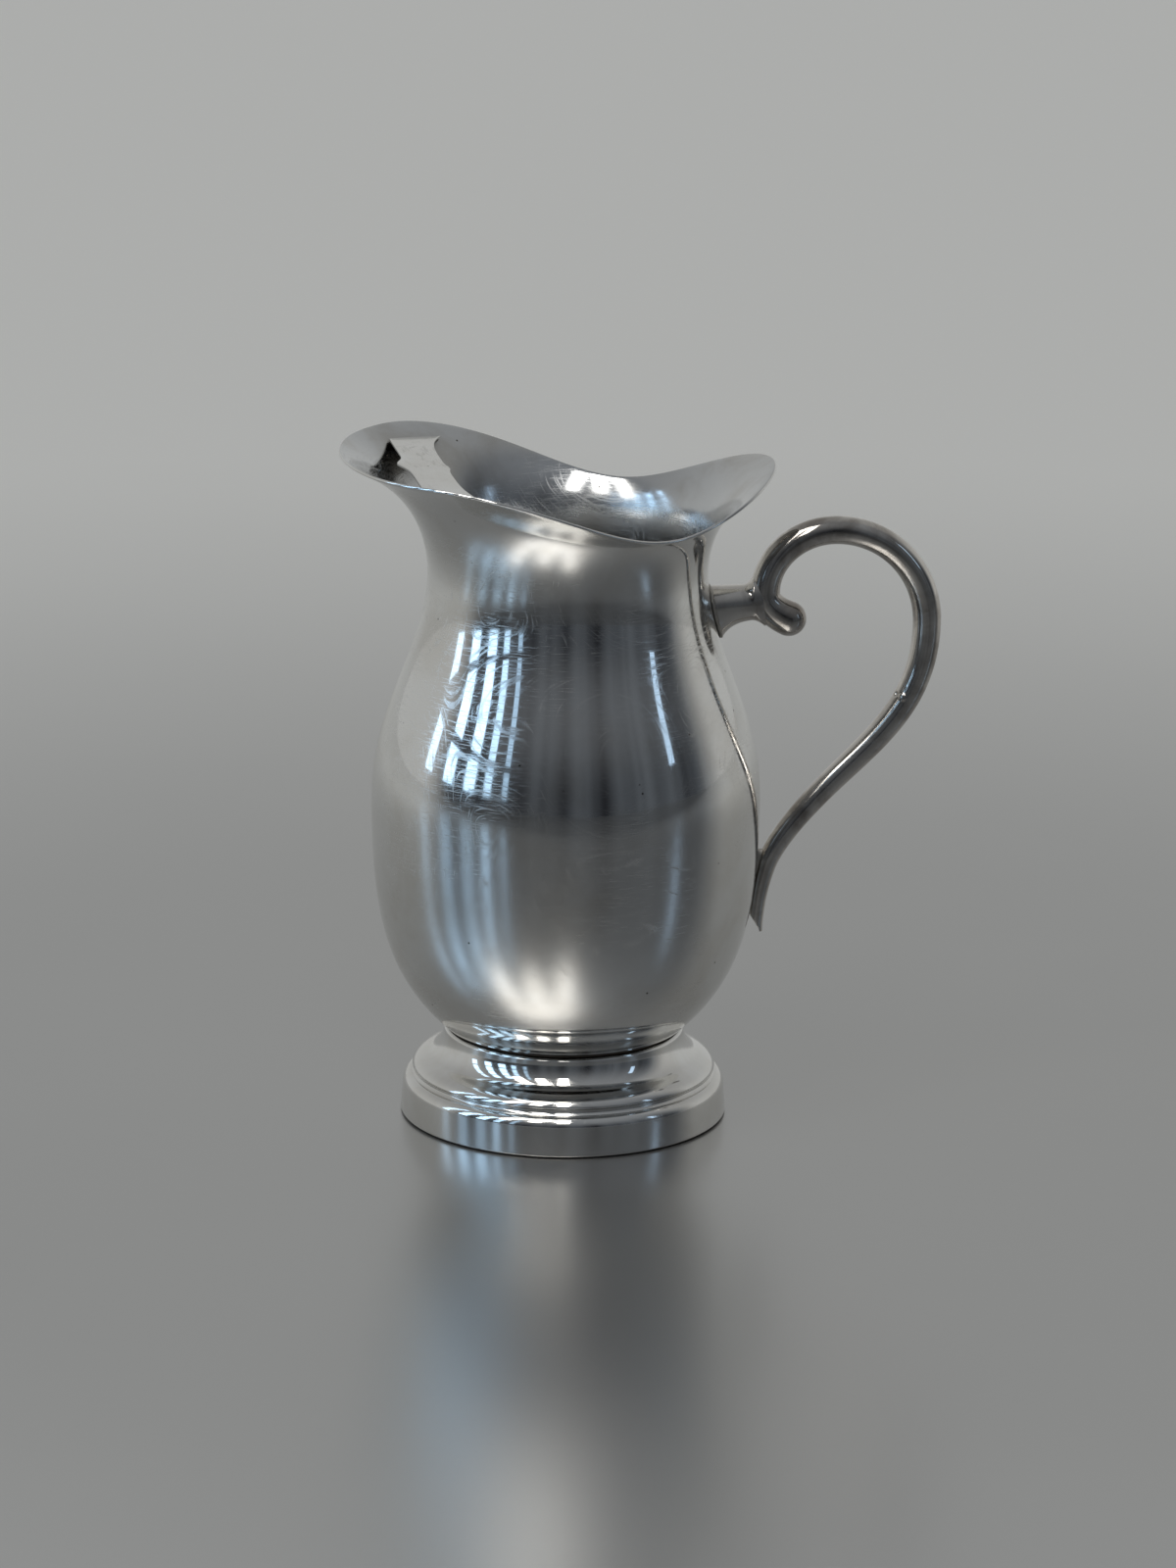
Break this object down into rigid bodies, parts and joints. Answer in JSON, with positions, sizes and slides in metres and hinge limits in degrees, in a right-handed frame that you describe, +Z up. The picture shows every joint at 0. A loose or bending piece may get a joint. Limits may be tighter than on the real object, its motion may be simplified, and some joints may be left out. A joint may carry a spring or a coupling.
{
  "type": "water pitcher",
  "caption": "Footed metal water pitcher with a pear-shaped bowl, a wavy flared mouth, an ice guard in the spout and a scroll handle, for pouring drinks.",
  "frame": {"origin": "on the standing surface, midway between the spout's lip and the back of the handle", "axes": "+X towards the handle, -X towards the spout, +Z up, +Y to the left of someone who looks from the spout at the handle"},
  "size_m": [0.2094, 0.134, 0.235],
  "materials": {
    "bright_plate": "polished silver plate with fine swirl scratches and faint tarnish",
    "toned_plate": "polished silver plate, darkened brown by tarnish",
    "pale_solder": "dull pale solder",
    "dark_solder": "blackened solder line"
  },
  "bodies": {
    "root": {"body_shell": "bright_plate", "ice_guard": "bright_plate", "guard_solder_left": "pale_solder", "guard_solder_right": "pale_solder", "foot": "bright_plate", "foot_solder": "dark_solder", "handle_socket": "toned_plate", "socket_solder": "pale_solder", "handle_scroll": "toned_plate", "tail_solder": "pale_solder"}
  },
  "joints": []
}
